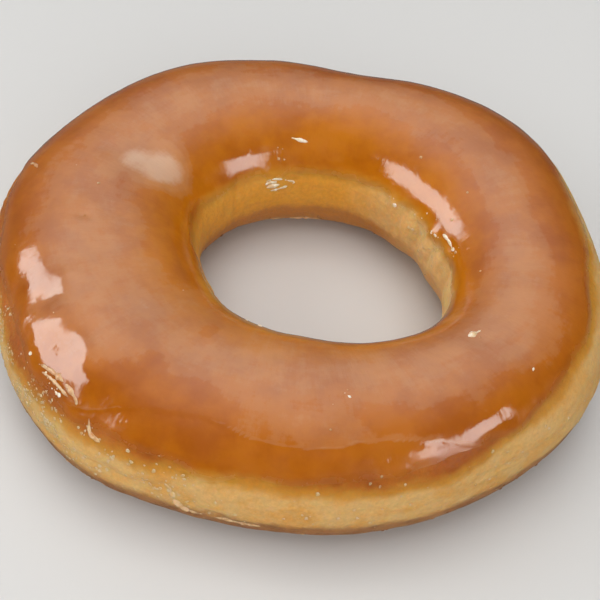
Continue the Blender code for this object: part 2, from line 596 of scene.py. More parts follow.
# Where the glaze ends, outside and in the hole, and how its edge wavers: size, degrees, seed. It ends
# higher at the right and lower at the front
OUTER_EDGE = 22.0
OUTER_EDGE_WAVES = ((0.35, 4.5, 11), (0.09, 2.0, 12))
OUTER_EDGE_LOWEST = -16
RIGHT_EDGE = (-10, 42)
RIGHT_EDGE_LIFT = 24.0
FRONT_EDGE = (-113, 18)
FRONT_EDGE_DROP = 4
HOLE_EDGE = 164.0
HOLE_EDGE_WAVES = ((0.45, 3.5, 13), (0.12, 1.5, 14))
HOLE_EDGE_LOWEST = 186

# Runs where the glaze crept further down: around, half width in degrees, how far down in degrees
OUTER_RUNS = (
    (218, 5.0, 5), (229, 3.2, 7), (256, 5.0, 8), (291, 5.5, 5), (318, 4.0, 6), (344, 5.0, 4), (12, 6.0, 5),
    (47, 4.0, 9), (78, 5.5, 5), (103, 3.5, 8), (131, 5.0, 5), (160, 4.5, 9), (187, 5.0, 5),
)
HOLE_RUNS = (
    (28, 4.0, 9), (16, 3.0, 7), (45, 3.5, 7), (107, 5.0, 6), (140, 6.0, 4), (190, 7.0, 5), (262, 7.0, 5),
)


def edge_angle(around, middle, waves):
    """An edge's angle about for each angle around, with its waver."""
    ring = np.stack([np.cos(np.radians(around)), np.sin(np.radians(around)), 0 * around], axis=-1)
    edge = np.full(around.shape, middle)
    for size, reach, seed in waves:
        edge = edge + reach * rough(ring, size, seed)
    return edge


def edge_angles(around):
    """The angle about where the glaze ends, outside and in the hole, for each angle around."""
    outer = edge_angle(around, OUTER_EDGE, OUTER_EDGE_WAVES)
    lift = RIGHT_EDGE_LIFT * bell(turn_off(around, RIGHT_EDGE[0]), RIGHT_EDGE[1])
    outer += lift - FRONT_EDGE_DROP * bell(turn_off(around, FRONT_EDGE[0]), FRONT_EDGE[1])
    hole = edge_angle(around, HOLE_EDGE, HOLE_EDGE_WAVES)
    for middle, half_width, drop in OUTER_RUNS:
        outer -= drop * bell(turn_off(around, middle), half_width)
    for middle, half_width, drop in HOLE_RUNS:
        hole += drop * bell(turn_off(around, middle), half_width)
    return np.maximum(outer, OUTER_EDGE_LOWEST), np.minimum(hole, HOLE_EDGE_LOWEST)


def row_shares():
    """Where the glaze's rows lie from edge to edge, closer together at the two rounded edges."""
    t = np.linspace(0, 1, GLAZE_ROWS)
    return t - EDGE_ROW_SHARE * np.sin(math.tau * t) / EDGE_ROW_EASE


def with_hidden(values):
    """Values of the glaze's top, with zeros added for the rows inside the dough."""
    return np.concatenate([values, np.zeros((GLAZE_COLUMNS, GLAZE_HIDDEN_ROWS, *values.shape[2:]))], axis=1)


column_angles = 360 * np.arange(GLAZE_COLUMNS) / GLAZE_COLUMNS
outer_edge, hole_edge = edge_angles(column_angles)
glaze_around = np.broadcast_to(column_angles[:, None], (GLAZE_COLUMNS, GLAZE_ROWS))
glaze_about = outer_edge[:, None] + (hole_edge - outer_edge)[:, None] * row_shares()[None, :]
glaze_skin = sampled(skin, glaze_around, glaze_about)
glaze_normals = sampled(normals, glaze_around, glaze_about)
glaze_normals /= np.linalg.norm(glaze_normals, axis=2, keepdims=True)

steps = np.linalg.norm(np.diff(glaze_skin, axis=1), axis=2)
from_outer = np.concatenate([np.zeros((GLAZE_COLUMNS, 1)), np.cumsum(steps, axis=1)], axis=1)
from_hole = from_outer[:, -1:] - from_outer
from_edge = np.minimum(from_outer, from_hole)
lip = smooth_step(from_edge, 0, EDGE_WIDTH)

# Slow unevenness of the poured glaze: size, height and seed of each noise
GLAZE_WAVES = ((0.0105, 0.00013, 21), (0.0046, 0.000070, 22), (0.0021, 0.000020, 23))
swell = rough_sum(glaze_skin, GLAZE_WAVES)

# The lap: the lower edge of the last pour, as angles around and about. Below it the glaze is thinner
# and clear
LAP = (
    (-134, 22), (-130, 27), (-127, 32), (-124, 38), (-119, 44), (-115, 47), (-108, 50.5), (-103, 49.5),
    (-96, 45.5), (-89, 44), (-84, 44.5), (-79, 46.5), (-75, 48.5), (-69, 49), (-63, 47), (-56, 41),
    (-50, 30),
)
LAP_RISE = 0.00007
LAP_STEP = (-0.3, 1.5)
LAP_WAVES = ((0.0028, 1.1, 24), (0.0010, 0.5, 25))
NO_LAP = -90

lap_around, lap_about = np.array(LAP, float).T
lap_line = np.interp(turn_off(glaze_around, 0), lap_around, lap_about, left=NO_LAP, right=NO_LAP)
for size, reach, seed in LAP_WAVES:
    lap_line = lap_line + reach * rough(glaze_skin, size, seed)
above_lap = smooth_step(glaze_about, lap_line + LAP_STEP[0], lap_line + LAP_STEP[1])
swell += LAP_RISE * (above_lap - 1)

# Shallow dimples left in the glaze: around, about, radius, depth
DIMPLES = (
    (154, 112, 0.0042, 0.00012),
    (158, 84, 0.0016, 0.00016),
    (167, 42, 0.0016, 0.00018),
    (184, 83, 0.0011, 0.00030),
    (325, 99, 0.0018, 0.00012),
)
for middle, tilt, radius, depth in DIMPLES:
    spot = sampled(skin, float(middle), float(tilt))
    swell -= depth * bell(np.linalg.norm(glaze_skin - spot, axis=2), radius)

# How much of the dough's fine relief shows through at the glaze's edge, how much of that is lost
# further in, and between which distances from the edge
RELIEF_AT_EDGE = 0.85
RELIEF_LOST = 0.5
RELIEF_FADE = (0.001, 0.006)

dough_relief = sampled(relief, glaze_around, glaze_about)
cover = RELIEF_AT_EDGE - RELIEF_LOST * smooth_step(from_edge, *RELIEF_FADE)
thickness = GLAZE_THICKNESS * lip + swell * lip - EDGE_SINK * (1 - lip) + dough_relief * cover
glaze_top = glaze_skin + glaze_normals * thickness[:, :, None]

hidden_shares = np.linspace(0, 1, GLAZE_HIDDEN_ROWS + 2)[1:-1]
hidden_about = hole_edge[:, None] + (outer_edge - hole_edge)[:, None] * hidden_shares[None, :]
hidden_around = np.broadcast_to(glaze_around[:, :1], hidden_about.shape)
hidden_normals = sampled(normals, hidden_around, hidden_about)
glaze_under = sampled(skin, hidden_around, hidden_about) - hidden_normals * GLAZE_HIDDEN_DEPTH
glaze_points = np.concatenate([glaze_top, glaze_under], axis=1)
glaze = new_piece("sugar_glaze", glaze_points, faces_of_ring(GLAZE_COLUMNS, GLAZE_ROWS + GLAZE_HIDDEN_ROWS))

# Where the set glaze is cloudier or clearer than elsewhere at its height: around, about, half width
# round the ring and about, and how much. The cloudiness is partly milky glaze and partly painted sheen:
# lighter where the glaze faces the bright room behind the ring, clearer where it faces the dark room
# in front.
FILM_AND_SHEEN_PATCHES = (
    (-113, 50, 15, 20, -0.62),
    (-84, 33, 26, 13, -0.22),
    (-124.5, 76, 2.5, 7, -0.45),
    (-119.5, 114, 2.5, 9, -0.45),
    (-105, 45, 4, 3, -0.30),
    (-138, 26, 5, 4, -0.40),
    (45, 72, 9, 7, -0.45),
    (30, 60, 8, 6, -0.45),
    (172, 133, 8, 10, -0.85),
    (166, 107, 3.5, 6, -0.50),
    (-86, 61, 9, 9, 0.45),
    (-62, 60, 12, 10, -0.40),
    (-150, 56, 26, 24, 0.45),
    (8, 68, 20, 18, -0.60),
    (18, 126, 24, 14, -0.50),
    (105, 133, 60, 25, -0.95),
    (-165, 140, 20, 11, -0.50),
    (-20, 104, 26, 12, 0.25),
    (95, 92, 60, 9, 0.14),
    # Painted light on the near rim of the hole, which faces the light behind the ring
    (-92, 141, 54, 16, 0.44),
    (-32, 78, 8, 7, 0.35),
    (-140, 100, 10, 9, 0.25),
    (60, 64, 26, 9, -0.25),
    # A creamy patch on a shallow dent: partly creamy glaze, partly a painted highlight where the dent catches
    # the light
    (154, 129, 10.5, 17, 2.20),
    (158, 104, 6.0, 11, 0.80),
)
FILM_AND_SHEEN_STRENGTH = 0.78
FILM_AND_SHEEN_MIDDLE = 98
FILM_AND_SHEEN_HALF_WIDTH = 44
FILM_WAVES = ((0.013, 0.16, 33), (0.006, 0.10, 34))
FILM_MOST = 2

# The film at the lap: cleared below it, cloudier above it, and brightest in a thin line along it
LAP_CLEARING = 0.42
LAP_FILM = 0.34
LAP_FILM_WIDTH = 11
LAP_LINE = 0.34
LAP_LINE_RISE = 1.6
LAP_LINE_WIDTH = 1.0

# Milky glaze and painted sheen together: a band on the crown, which reflects the bright room behind
film = FILM_AND_SHEEN_STRENGTH * bell(glaze_about - FILM_AND_SHEEN_MIDDLE, FILM_AND_SHEEN_HALF_WIDTH)
film += rough_sum(glaze_skin, FILM_WAVES)
for middle, tilt, width, span, strength in FILM_AND_SHEEN_PATCHES:
    off = np.hypot(turn_off(glaze_around, middle) / width, (glaze_about - tilt) / span)
    film += strength * bell(off, 1.0)
film -= LAP_CLEARING * (1 - above_lap)
film += LAP_FILM * above_lap * bell(glaze_about - lap_line, LAP_FILM_WIDTH)
film += LAP_LINE * bell(glaze_about - lap_line - LAP_LINE_RISE, LAP_LINE_WIDTH)
give_value(glaze, "film", with_hidden(np.clip(film, 0, FILM_MOST)))

# How wet the glaze looks: dull at its edge, and fully glossy a few millimetres further in
WET_STEP = (0.0006, 0.0038)
give_value(glaze, "wet", with_hidden(smooth_step(from_edge, *WET_STEP)))

# The glaze laid out straight, so that streaks can run down it or along it
UNROLLED_RADIUS = 0.035
unrolled = np.stack([
    UNROLLED_RADIUS * np.cos(np.radians(glaze_around)), UNROLLED_RADIUS * np.sin(np.radians(glaze_around)),
    np.radians(glaze_about) * SECTION_RADIUS,
], axis=-1)
drawn = glaze.data.attributes.new("unrolled", "FLOAT_VECTOR", "POINT")
drawn.data.foreach_set("vector", with_hidden(unrolled).astype(np.float32).ravel())

DOWNWARDS = (1.0, 1.0, 0.16)
ALONG = (0.2, 0.2, 1.0)

# Noises that break up the film, each with how much: all over, in streaks down, and in streaks along
CLOUD_NOISE = (0.0062, 7.0, 0.70)
CLOUD_AMOUNT = 1.10
DOWN_STREAKS = (0.0016, 4.0, 0.65)
DOWN_AMOUNT = 0.50
ALONG_STREAKS = (0.0015, 4.0, 0.65)
ALONG_AMOUNT = 0.45

# The film's two clouded steps and its creamy one: from which film to which, and how much of the colour.
# The clouded colour is partly milky glaze and partly painted sheen
VEIL_STEP = (0.36, 0.54, 0.0, 0.15)
CLOUD_STEP = (0.64, 0.94, 0.0, 0.15)
CREAM_STEP = (1.10, 1.75, 0.0, 0.50)
BLOOM_AND_SHEEN = (0.60, 0.345, 0.185, 1)
CREAM = (0.76, 0.54, 0.39, 1)

# The gloss: smeared, duller where cloudy, and dull at the very edge
SMEAR = (0.0035, 4.0, 0.6)
SMEAR_ROUGHNESS = (0.35, 0.65, 0.075, 0.165)
BLOOM_ROUGHNESS = 0.15
EDGE_ROUGHNESS = (0.0, 1.0, 0.16, 0.0)
RIPPLES = (0.0015, 1.6, 0.5)
FRAYED_RIPPLES = (0.00045, 2.0, 0.6)
FRAYED_SHARE = 0.45
GLAZE_BUMP = (1.0, 0.000045)
GLAZE_VALUES = {
    "IOR": 1.50,
    "Specular IOR Level": 1.0,
    "Subsurface Weight": 0.20,
    "Subsurface Radius": (1.0, 0.36, 0.10),
    "Subsurface Scale": 0.0009,
}


def attribute(tree, name, output="Fac"):
    """What a piece stored on its points under that name."""
    return put(tree, "ShaderNodeAttribute", attribute_name=name).outputs[output]


def stretched(tree, place, stretch):
    """A place with its three directions stretched each by its own factor."""
    return put(tree, "ShaderNodeVectorMath", {0: place, 1: stretch}, operation="MULTIPLY").outputs[0]


def make_glaze_finish():
    """Set sugar glaze over fried crust: wet-looking gloss, slightly uneven, with a cloudy bloom that is
    partly painted sheen.
    """
    material, tree, shader = new_material("set_sugar_glaze")
    crust = crust_colour(tree)
    place = object_place(tree)
    film = attribute(tree, "film")
    unrolled = attribute(tree, "unrolled", "Vector")
    downwards = stretched(tree, unrolled, DOWNWARDS)
    along = stretched(tree, unrolled, ALONG)
    for noise_value, amount in (
        (patches(tree, place, *CLOUD_NOISE), CLOUD_AMOUNT),
        (patches(tree, downwards, *DOWN_STREAKS), DOWN_AMOUNT),
        (patches(tree, along, *ALONG_STREAKS), ALONG_AMOUNT),
    ):
        more = maths(tree, "MULTIPLY", maths(tree, "SUBTRACT", noise_value, 0.5), amount)
        film = maths(tree, "ADD", film, more)
    # The clouded colour: milky glaze and painted sheen together
    bloom_and_sheen = maths(tree, "ADD", eased(tree, film, *VEIL_STEP), eased(tree, film, *CLOUD_STEP))
    colour = blended(tree, bloom_and_sheen, crust, BLOOM_AND_SHEEN)
    # Creamy where the film is strongest, as on the dent, so partly a painted highlight
    colour = blended(tree, eased(tree, film, *CREAM_STEP), colour, CREAM)
    tree.links.new(colour, shader.inputs["Base Color"])
    dullness = eased(tree, patches(tree, place, *SMEAR), *SMEAR_ROUGHNESS)
    dullness = maths(tree, "ADD", dullness, maths(tree, "MULTIPLY", bloom_and_sheen, BLOOM_ROUGHNESS))
    dullness = maths(tree, "ADD", dullness, eased(tree, attribute(tree, "wet"), *EDGE_ROUGHNESS))
    tree.links.new(dullness, shader.inputs["Roughness"])
    frayed = patches(tree, downwards, *FRAYED_RIPPLES)
    ripples = maths(tree, "MULTIPLY_ADD", frayed, FRAYED_SHARE, patches(tree, place, *RIPPLES))
    give_bump(tree, shader, ripples, *GLAZE_BUMP)
    set_values(shader, GLAZE_VALUES)
    return material


glaze.data.materials.append(make_glaze_finish())
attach(glaze, "root")


# The ridges and the drips: where the glaze wrinkled and lapped as it set, it left raised threads and
# loops, and it ran down over the pale band here and there. They are thick, creamy sugar glaze. Where
# sugar gathered and dried, it made small whitish drips. Most drips sit where the glaze shows a glint of
# the window light, so their whitish colour is partly painted glints.

RIDGE_SPACING = 0.00035
RIDGE_SIDES = 10
RIDGE_SINK = 0.55
THREAD_BUMPS_PER_METRE = 900.0
THREAD_UNEVEN = 1.1
THREAD_LEAST = 0.45
PATH_STEPS = 12

# Each ridge: its radius in metres, then the angles around and about that it runs through
RIDGES = (
    (0.00048, ((-146, 23), (-143, 28), (-141, 30.5), (-138, 32.5), (-135, 32.5), (-132, 30), (-131, 25),
               (-130, 19))),
    (0.00036, ((-143, 25), (-140, 28), (-137, 29), (-134, 28.5), (-132, 27))),
    (0.00038, ((-129, 30), (-128, 25), (-127, 19), (-125, 17), (-122, 17))),
    (0.00070, ((-112, 8), (-110, 2), (-109, -6), (-108, -11), (-106, -14), (-102, -14))),
    (0.00045, ((-104, -15), (-99, -15), (-95, -16), (-91, -17))),
    (0.00036, ((168, 44), (166, 38), (165, 30))),
    (0.00042, ((66, 10), (64, 2), (61, -4))),
    (0.00042, ((183, 18), (185, 10), (184, 3))),
    (0.00042, ((122, 14), (124, 7), (123, 0), (120, -5))),
    (0.00045, ((120, 204), (112, 208), (103, 211), (94, 213), (84, 214), (74, 214))),
)

# Each drip is given the same way. Most sit where the glaze shows a glint, so their whitish colour is
# partly painted glints
DRIPS_AND_GLINTS = (
    (0.00036, ((-139, 26.5), (-138, 26))),
    (0.00036, ((-137, 25.8), (-135.5, 25))),
    (0.00040, ((118, 171), (113, 167), (107, 165), (101, 166.5), (97, 169), (103, 172.5), (110, 174),
               (117, 172.5))),
    (0.00052, ((113, 171.3), (107, 170.3), (102, 169.2))),
    (0.00044, ((113.5, 169), (109, 167.6), (104, 167.4))),
    (0.00036, ((100, 134.5), (95, 136), (90, 137))),
    (0.00052, ((-37, 107), (-34, 106.5), (-31, 105))),
    (0.00052, ((-75.5, 88), (-75, 86))),
    (0.00040, ((-74, 83), (-75, 80))),
    (0.00045, ((-33.5, 63), (-33, 60))),
    (0.00040, ((-33, 57), (-33, 55))),
    (0.00048, ((-116, 24), (-116, 22))),
    (0.00052, ((-84, 45.5), (-84, 43.5))),
    (0.00034, ((-83.5, 40), (-83.3, 39))),
    (0.00034, ((185, 79), (185, 77.5))),
    (0.00040, ((20, 155), (15, 151), (8, 151), (5, 155))),
)


def on_glaze(around, about, lift):
    """Points on the glaze, or on the dough beyond its edge, at arrays of angles in degrees."""
    outward = sampled(normals, around, about)
    outward /= np.linalg.norm(outward, axis=-1, keepdims=True)
    columns = np.round(around / 360 * GLAZE_COLUMNS).astype(int) % GLAZE_COLUMNS
    rise = np.array([
        np.interp(tilt, glaze_about[column], thickness[column], left=0.0, right=0.0)
        for column, tilt in zip(columns, about)
    ])
    return sampled(skin, around, about) + outward * (rise[:, None] + lift)


def smooth_path(points):
    """A smooth curve that passes through given points."""
    points = np.array(points, float)
    padded = np.concatenate([2 * points[:1] - points[1:2], points, 2 * points[-1:] - points[-2:-1]])
    path = []
    for a, b, c, d in zip(padded, padded[1:], padded[2:], padded[3:]):
        for t in np.arange(PATH_STEPS) / PATH_STEPS:
            path.append(0.5 * (2 * b + (c - a) * t + (2 * a - 5 * b + 4 * c - d) * t**2
                               + (3 * b - a - 3 * c + d) * t**3))
    return np.array(path + [points[-1]])


def new_shape_tree(name, sockets):
    """An empty Geometry Nodes tree. Sockets are extra inputs: name, kind and default value."""
    tree = bpy.data.node_groups.new(name, "GeometryNodeTree")
    tree.interface.new_socket("Geometry", in_out="INPUT", socket_type="NodeSocketGeometry")
    for socket, kind, value in sockets:
        item = tree.interface.new_socket(socket, in_out="INPUT", socket_type="NodeSocket" + kind)
        if value is not None:
            item.default_value = value
    tree.interface.new_socket("Geometry", in_out="OUTPUT", socket_type="NodeSocketGeometry")
    return tree, tree.nodes.new("NodeGroupInput").outputs, tree.nodes.new("NodeGroupOutput")


def finish_tree(tree, shape, material, made):
    """Ends a tree the same way each time: instances realized, and the material set."""
    real = put(tree, "GeometryNodeRealizeInstances", {"Geometry": shape}).outputs[0]
    dressed = put(tree, "GeometryNodeSetMaterial", {"Geometry": real, "Material": material}).outputs[0]
    tree.links.new(dressed, made.inputs[0])


def grown(name, ground, tree, values):
    """The plain mesh that a tree makes on a ground object, as a new piece. The ground is removed."""
    modifier = ground.modifiers.new(name, "NODES")
    modifier.node_group = tree
    sockets = {item.name: item.identifier for item in tree.interface.items_tree if item.in_out == "INPUT"}
    for socket, value in values.items():
        modifier[sockets[socket]] = value
    bpy.context.view_layer.update()
    evaluated = ground.evaluated_get(bpy.context.evaluated_depsgraph_get())
    mesh = bpy.data.meshes.new_from_object(evaluated)
    mesh.name = name
    ground.modifiers.remove(modifier)
    bpy.data.objects.remove(ground)
    piece = bpy.data.objects.new(name, mesh)
    bpy.context.scene.collection.objects.link(piece)
    return piece


def make_ridge_tree():
    """Round threads swept along the guide curves, uneven, and thinner towards both ends."""
    tree, given, made = new_shape_tree("glaze_ridge_maker", (
        ("Spacing", "Float", RIDGE_SPACING), ("Sides", "Int", RIDGE_SIDES), ("Material", "Material", None),
    ))
    guide = put(tree, "GeometryNodeResampleCurve", {"Curve": given["Geometry"], "Length": given["Spacing"]},
                mode="LENGTH")
    along = put(tree, "GeometryNodeSplineParameter").outputs["Factor"]
    ends = maths(tree, "MULTIPLY", along, maths(tree, "SUBTRACT", 1.0, along))
    taper = maths(tree, "POWER", maths(tree, "MULTIPLY", ends, 4.0), 0.5)
    place = put(tree, "GeometryNodeInputPosition").outputs[0]
    bumps = {"Vector": place, "Scale": THREAD_BUMPS_PER_METRE, "Detail": 2.0}
    uneven = put(tree, "ShaderNodeTexNoise", bumps).outputs["Fac"]
    uneven = maths(tree, "MULTIPLY_ADD", uneven, THREAD_UNEVEN, THREAD_LEAST)
    old = put(tree, "GeometryNodeInputRadius").outputs[0]
    radius = maths(tree, "MULTIPLY", old, maths(tree, "MULTIPLY", taper, uneven))
    thick = put(tree, "GeometryNodeSetCurveRadius", {"Curve": guide.outputs[0], "Radius": radius}).outputs[0]
    circle = put(tree, "GeometryNodeCurvePrimitiveCircle", {"Resolution": given["Sides"], "Radius": 1.0})
    sweep = {"Curve": thick, "Profile Curve": circle.outputs["Curve"], "Scale": radius, "Fill Caps": True}
    tube = put(tree, "GeometryNodeCurveToMesh", sweep).outputs[0]
    smooth = put(tree, "GeometryNodeSetShadeSmooth", {"Geometry": tube}).outputs[0]
    finish_tree(tree, smooth, given["Material"], made)
    return tree


def make_ridge_guides(threads):
    """One curve object with a spline for each thread, a little sunk into the glaze."""
    curve = bpy.data.curves.new("ridge_guides", "CURVE")
    curve.dimensions = "3D"
    for radius, angles in threads:
        path = smooth_path(angles)
        points = on_glaze(path[:, 0] % 360, path[:, 1], -RIDGE_SINK * radius)
        spline = curve.splines.new("POLY")
        spline.points.add(len(points) - 1)
        for point, place in zip(spline.points, points):
            point.co = (*place, 1)
            point.radius = radius
    guides = bpy.data.objects.new("ridge_guides", curve)
    bpy.context.scene.collection.objects.link(guides)
    return guides


MILK = (0.0009, 4.0, 0.6)
MILK_STEP = (0.36, 0.62, 0.35, 0.90)
MILKY_SUGAR = (0.84, 0.56, 0.33, 1)
THICK_SMEAR = (0.0016, 3.0, 0.6)
THICK_ROUGHNESS = (0.35, 0.65, 0.14, 0.26)
THICK_RIPPLES = (0.0006, 3.0, 0.6)
THICK_BUMP = (0.6, 0.00008)
THICK_VALUES = {
    "IOR": 1.50,
    "Subsurface Weight": 0.5,
    "Subsurface Radius": (1.0, 0.6, 0.35),
    "Subsurface Scale": 0.0012,
}


def make_thick_sugar():
    """Sugar glaze where it is thick: creamy, a little cloudy inside, and still glossy."""
    material, tree, shader = new_material("thick_sugar_glaze")
    crust = crust_colour(tree)
    place = object_place(tree)
    milky = eased(tree, patches(tree, place, *MILK), *MILK_STEP)
    tree.links.new(blended(tree, milky, crust, MILKY_SUGAR), shader.inputs["Base Color"])
    dullness = eased(tree, patches(tree, place, *THICK_SMEAR), *THICK_ROUGHNESS)
    tree.links.new(dullness, shader.inputs["Roughness"])
    give_bump(tree, shader, patches(tree, place, *THICK_RIPPLES), *THICK_BUMP)
    set_values(shader, THICK_VALUES)
    return material


FLAKE_PATCHES = (0.0012, 3.0, 0.6)
FLAKE_STEP = (0.36, 0.64)
THIN_FLAKE = (0.80, 0.56, 0.32, 1)
WHITE_FLAKE = (0.96, 0.86, 0.70, 1)
FLAKE_ROUGHNESS = (0.0, 1.0, 0.22, 0.45)
FLAKE_VALUES = {
    "IOR": 1.50,
    "Subsurface Weight": 0.3,
    "Subsurface Radius": (1.0, 0.7, 0.45),
    "Subsurface Scale": 0.0008,
}


def make_dried_sugar():
    """Sugar that dried to thin flakes: whitish, with a dull sheen, and a little see-through."""
    material, tree, shader = new_material("dried_sugar")
    place = object_place(tree)
    shade = eased(tree, patches(tree, place, *FLAKE_PATCHES), *FLAKE_STEP)
    tree.links.new(blended(tree, shade, THIN_FLAKE, WHITE_FLAKE), shader.inputs["Base Color"])
    tree.links.new(eased(tree, shade, *FLAKE_ROUGHNESS), shader.inputs["Roughness"])
    set_values(shader, FLAKE_VALUES)
    return material


thick_sugar = make_thick_sugar()
dried_sugar = make_dried_sugar()
ridge_tree = make_ridge_tree()
for name, threads, sugar in (
    ("glaze_ridges", RIDGES, thick_sugar),
    # The drips' whitish sugar is partly painted glints
    ("sugar_drips_and_glints", DRIPS_AND_GLINTS, dried_sugar),
):
    ridges = grown(name, make_ridge_guides(threads), ridge_tree, {"Material": sugar})
    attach(ridges, "root")


# The bubbles: air that rose out of the hot dough and set as small domes in the glaze, most of them in
# a few clusters, with some loose ones over the crown.

BUBBLE_RADIUS = 0.000338
BUBBLE_DENSITY = 900000.0
LOOSE_BUBBLES = 0.002

# Each cluster: around, about, half width in degrees round the ring, and how full it is
BUBBLE_CLUSTERS = (
    (-76, 84, 3.0, 0.25), (-35, 103, 2.2, 0.3), (20, 153, 4.0, 0.8), (50, 165, 3.0, 0.7),
    (104, 148, 3.0, 0.4), (-152, 60, 4.0, 0.4), (6, 150, 2.0, 0.8),
)
CLUSTER_STRETCH = 0.45

# Each bubble, fleck, flake and crumb is one lump: a coarse ball made ragged and flat, then turned at
# random between two tilts
LUMP_SEGMENTS = 8
LUMP_RINGS = 5
LUMP_BUMPS = {"Scale": 1.1, "Detail": 2.0}
LUMP_MIDDLE = (0.5, 0.5, 0.5)
LUMP_TURNS = ((0.0, 0.0, 0.0), (0.3, 0.3, math.tau))


def chance_of(clusters, loose):
    """A share from 0 to 1 for each point of the glaze, high in clusters and low elsewhere."""
    chance = np.full(glaze_around.shape, loose)
    for middle, tilt, width, strength in clusters:
        off = np.hypot(turn_off(glaze_around, middle), (glaze_about - tilt) * CLUSTER_STRETCH) / width
        chance += strength * bell(off, 1.0)
    return with_hidden(np.clip(chance * lip, 0, 1))


def make_lump(tree, given):
    """One rounded lump, ragged and flat as the tree's inputs say."""
    sphere = {"Segments": LUMP_SEGMENTS, "Rings": LUMP_RINGS, "Radius": 1.0}
    lump = put(tree, "GeometryNodeMeshUVSphere", sphere).outputs[0]
    place = put(tree, "GeometryNodeInputPosition").outputs[0]
    bumps = put(tree, "ShaderNodeTexNoise", {"Vector": place, **LUMP_BUMPS}).outputs["Color"]
    shove = put(tree, "ShaderNodeVectorMath", {0: bumps, 1: LUMP_MIDDLE}, operation="SUBTRACT").outputs[0]
    shove = put(tree, "ShaderNodeVectorMath", {0: shove, "Scale": given["Raggedness"]},
                operation="SCALE").outputs[0]
    lump = put(tree, "GeometryNodeSetPosition", {"Geometry": lump, "Offset": shove}).outputs[0]
    flat = put(tree, "ShaderNodeCombineXYZ", {0: 1.0, 1: 1.0, 2: given["Flatness"]}).outputs[0]
    return put(tree, "GeometryNodeTransform", {"Geometry": lump, "Scale": flat}).outputs[0]


def make_scatter_tree(name, seed):
    """Small rounded lumps scattered over a surface as its chance attribute says, and half sunk in."""
    tree, given, made = new_shape_tree(name, (
        ("Density", "Float", 10000.0), ("Radius", "Float", 0.0003), ("Least", "Float", 0.4),
        ("Flatness", "Float", 0.6), ("Raggedness", "Float", 0.0), ("Material", "Material", None),
    ))
    chance = put(tree, "GeometryNodeInputNamedAttribute", {"Name": name + "_chance"}, data_type="FLOAT")
    density = maths(tree, "MULTIPLY", chance.outputs[0], given["Density"])
    points = put(tree, "GeometryNodeDistributePointsOnFaces",
                 {"Mesh": given["Geometry"], "Density": density, "Seed": seed})
    lump = make_lump(tree, given)
    sizes = put(tree, "FunctionNodeRandomValue", {"Min": given["Least"], "Max": 1.0, "Seed": seed + 1})
    sizes.data_type = "FLOAT"
    size = maths(tree, "MULTIPLY", maths(tree, "POWER", sizes.outputs[1], 2.0), given["Radius"])
    spin = put(tree, "FunctionNodeRandomValue", {"Seed": seed + 2}, data_type="FLOAT_VECTOR")
    spin.inputs[0].default_value, spin.inputs[1].default_value = LUMP_TURNS
    tilt = put(tree, "FunctionNodeRotateRotation",
               {"Rotation": points.outputs["Rotation"], "Rotate By": spin.outputs[0]}, rotation_space="LOCAL")
    placed = put(tree, "GeometryNodeInstanceOnPoints", {
        "Points": points.outputs["Points"], "Instance": lump, "Rotation": tilt.outputs[0], "Scale": size})
    finish_tree(tree, placed.outputs[0], given["Material"], made)
    return tree


def scattered(name, ground, chance, seed, values):
    """Lumps scattered over a copy of a piece, with its own chance attribute, as a new piece."""
    copy = bpy.data.objects.new(name + "_ground", ground.data.copy())
    bpy.context.scene.collection.objects.link(copy)
    give_value(copy, name + "_chance", chance)
    return grown(name, copy, make_scatter_tree(name, seed), values)


# The bubbles take the creamy thick sugar, so they read partly as painted glints
bubbles = scattered("glaze_bubbles", glaze, chance_of(BUBBLE_CLUSTERS, LOOSE_BUBBLES), 3, {
    "Density": BUBBLE_DENSITY, "Radius": BUBBLE_RADIUS, "Least": 0.45, "Flatness": 0.5,
    "Material": thick_sugar,
})
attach(bubbles, "root")


# The flecks: dry flakes of sugar that set white where the glaze was thin, mostly near its edge, on
# the pleats of the hole and along the runs.

FLECK_RADIUS = 0.00046
FLECK_DENSITY = 900000.0
LOOSE_FLECKS = 0.0010
FLECK_CLUSTERS = (
    (-136, 28, 3.0, 0.25), (-125, 20, 3.0, 0.4), (-146, 18, 4.0, 0.25), (32, 166, 4.0, 0.6),
    (20, 156, 3.0, 0.8), (28, 168, 4.0, 0.6), (10, 154, 3.0, 0.5), (45, 165, 3.0, 0.5),
)

flecks = scattered("sugar_flecks", glaze, chance_of(FLECK_CLUSTERS, LOOSE_FLECKS), 11, {
    "Density": FLECK_DENSITY, "Radius": FLECK_RADIUS, "Least": 0.45, "Flatness": 0.35, "Raggedness": 1.1,
    "Material": dried_sugar,
})
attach(flecks, "root")


# The frost: fine flakes of sugar stuck to the pale band, thickest at the front left, where the glaze
# ran down and was wiped off the dough, and a few on the pleats in the hole.

FROST_RADIUS = 0.00038
FROST_DENSITY = 4000000.0
FROST_FRONT_LEFT = (0.95, -145, 25)
FROST_FRONT_RIGHT = (0.07, -60, 40)
FROST_ELSEWHERE = 0.05
FROST_BAND = (4, 16)
FROST_IN_HOLE = 0.20
FROST_HOLE_AROUND = (24, 18)
FROST_HOLE_ABOUT = (174, 9)
FROST_PATCH_SIZE = 0.0025
FROST_PATCH_STEP = (-0.35, 0.4)


def near(angles, middle, half_width):
    """A share that is 1 at an angle in degrees and fades out on both sides of it."""
    return bell(turn_off(angles, middle), half_width)


